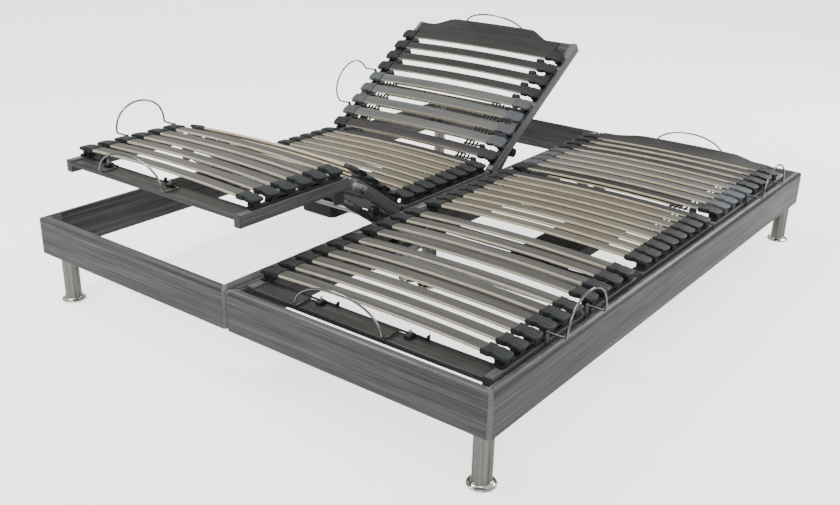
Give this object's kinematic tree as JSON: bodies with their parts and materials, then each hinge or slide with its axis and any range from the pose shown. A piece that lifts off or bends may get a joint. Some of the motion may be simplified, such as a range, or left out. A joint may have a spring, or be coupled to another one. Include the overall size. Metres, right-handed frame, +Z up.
{
  "type": "adjustable bed base",
  "caption": "Twin electric slatted bed base: boxed grey wood-grain frame on round metal legs, with lifting back, thigh and calf sections and wire mattress loops.",
  "frame": {"origin": "on the floor, under the middle of the whole base at rest", "axes": "+X towards the right half seen from the foot end, +Y towards the head end, +Z up"},
  "size_m": [1.7496, 2.12, 0.7371],
  "materials": {
    "boards": "grey wood-grain laminate on chipboard",
    "corners": "satin grey plastic strip",
    "legs": "brushed nickel tube with a polished base ring",
    "rails": "grey wood-look foil",
    "pale_slats": "grey-faced beech plywood, pale edges, in dark rubber caps",
    "dark_slats": "dark coated plywood in dark rubber caps",
    "grey_slats": "grey coated plywood in grey and dark caps",
    "gear": "grey powder-coated steel",
    "loops": "chromed wire",
    "housing": "black moulded plastic"
  },
  "bodies": {
    "base": {"left_foot_board": "boards", "left_head_board": "boards", "left_outer_side_board": "boards", "left_inner_side_board": "boards", "left_corner_foot_outer": "corners", "left_corner_foot_inner": "corners", "left_corner_head_outer": "corners", "left_corner_head_inner": "corners", "left_leg_foot": "legs", "left_leg_head": "legs", "left_leg_head_inner": "legs", "left_leg_mid_inner": "legs", "left_seat_frame": "gear", "left_seat_slats": "pale_slats", "left_drive_housing": "housing", "right_foot_board": "boards", "right_head_board": "boards", "right_outer_side_board": "boards", "right_inner_side_board": "boards", "right_corner_foot_outer": "corners", "right_corner_foot_inner": "corners", "right_corner_head_outer": "corners", "right_corner_head_inner": "corners", "right_leg_foot": "legs", "right_leg_head": "legs", "right_leg_head_inner": "legs", "right_leg_mid_inner": "legs", "right_seat_frame": "gear", "right_seat_slats": "pale_slats", "right_drive_housing": "housing"},
    "left_back": {"left_back_frame": "rails", "left_lumbar_slats": "grey_slats", "left_back_slats": "dark_slats", "left_head_panel": "dark_slats", "left_back_side_loop": "loops", "left_head_loop": "loops"},
    "left_back_lift": {"left_back_lift_tube": "gear"},
    "left_thigh": {"left_thigh_frame": "rails", "left_thigh_slats": "pale_slats"},
    "left_calf": {"left_calf_frame": "rails", "left_calf_slats": "pale_slats", "left_calf_side_loop": "loops", "left_foot_loop": "loops"},
    "left_leg_lift": {"left_leg_lift_tube": "gear"},
    "left_link": {"left_calf_link": "gear"},
    "right_back": {"right_back_frame": "rails", "right_lumbar_slats": "grey_slats", "right_back_slats": "dark_slats", "right_head_panel": "dark_slats", "right_back_side_loop": "loops", "right_head_loop": "loops"},
    "right_back_lift": {"right_back_lift_tube": "gear"},
    "right_thigh": {"right_thigh_frame": "rails", "right_thigh_slats": "pale_slats"},
    "right_calf": {"right_calf_frame": "rails", "right_calf_slats": "pale_slats", "right_calf_side_loop": "loops", "right_foot_loop": "loops"},
    "right_leg_lift": {"right_leg_lift_tube": "gear"},
    "right_link": {"right_calf_link": "gear"}
  },
  "joints": [
    {"name": "left_back_hinge", "type": "hinge", "parent": "base", "child": "left_back", "pos_m": [-0.42525, 0.27, 0.275], "axis": [1, 0, 0], "range_deg": [-33.5, 31.5]},
    {"name": "left_back_lift", "type": "hinge", "parent": "base", "child": "left_back_lift", "pos_m": [-0.42525, 0.33, 0.19], "axis": [1, 0, 0], "range_deg": [-34.48, 32.42]},
    {"name": "left_thigh_hinge", "type": "hinge", "parent": "base", "child": "left_thigh", "pos_m": [-0.42525, -0.264, 0.237], "axis": [-1, 0, 0], "range_deg": [-34.5, 5.5]},
    {"name": "left_leg_lift", "type": "hinge", "parent": "base", "child": "left_leg_lift", "pos_m": [-0.42525, -0.2, 0.19], "axis": [-1, 0, 0], "range_deg": [-21.57, 3.45]},
    {"name": "left_knee_hinge", "type": "hinge", "parent": "left_thigh", "child": "left_calf", "pos_m": [-0.42525, -0.50464, 0.40239], "axis": [1, 0, 0], "range_deg": [-34.51, 5.51]},
    {"name": "left_link_hinge", "type": "hinge", "parent": "base", "child": "left_link", "pos_m": [-0.42525, -0.264, 0.192], "axis": [-1, 0, 0], "range_deg": [-34.51, 5.51]},
    {"name": "right_back_hinge", "type": "hinge", "parent": "base", "child": "right_back", "pos_m": [0.42525, 0.27, 0.275], "axis": [1, 0, 0], "range_deg": [0, 65]},
    {"name": "right_back_lift", "type": "hinge", "parent": "base", "child": "right_back_lift", "pos_m": [0.42525, 0.33, 0.19], "axis": [1, 0, 0], "range_deg": [-0.01, 66.89]},
    {"name": "right_thigh_hinge", "type": "hinge", "parent": "base", "child": "right_thigh", "pos_m": [0.42525, -0.264, 0.237], "axis": [-1, 0, 0], "range_deg": [0, 40]},
    {"name": "right_leg_lift", "type": "hinge", "parent": "base", "child": "right_leg_lift", "pos_m": [0.42525, -0.2, 0.19], "axis": [-1, 0, 0], "range_deg": [-0.01, 25.01]},
    {"name": "right_knee_hinge", "type": "hinge", "parent": "right_thigh", "child": "right_calf", "pos_m": [0.42525, -0.556, 0.237], "axis": [1, 0, 0], "range_deg": [-0.01, 40.01]},
    {"name": "right_link_hinge", "type": "hinge", "parent": "base", "child": "right_link", "pos_m": [0.42525, -0.264, 0.192], "axis": [-1, 0, 0], "range_deg": [-0.01, 40.01]}
  ],
  "couplings": [
    {"joint": "left_back_lift", "follows": "left_back_hinge", "ratio": 1.029},
    {"joint": "left_leg_lift", "follows": "left_thigh_hinge", "ratio": 0.625},
    {"joint": "left_knee_hinge", "follows": "left_thigh_hinge", "ratio": 1},
    {"joint": "left_link_hinge", "follows": "left_thigh_hinge", "ratio": 1},
    {"joint": "right_back_lift", "follows": "right_back_hinge", "ratio": 1.029},
    {"joint": "right_leg_lift", "follows": "right_thigh_hinge", "ratio": 0.625},
    {"joint": "right_knee_hinge", "follows": "right_thigh_hinge", "ratio": 1},
    {"joint": "right_link_hinge", "follows": "right_thigh_hinge", "ratio": 1}
  ]
}
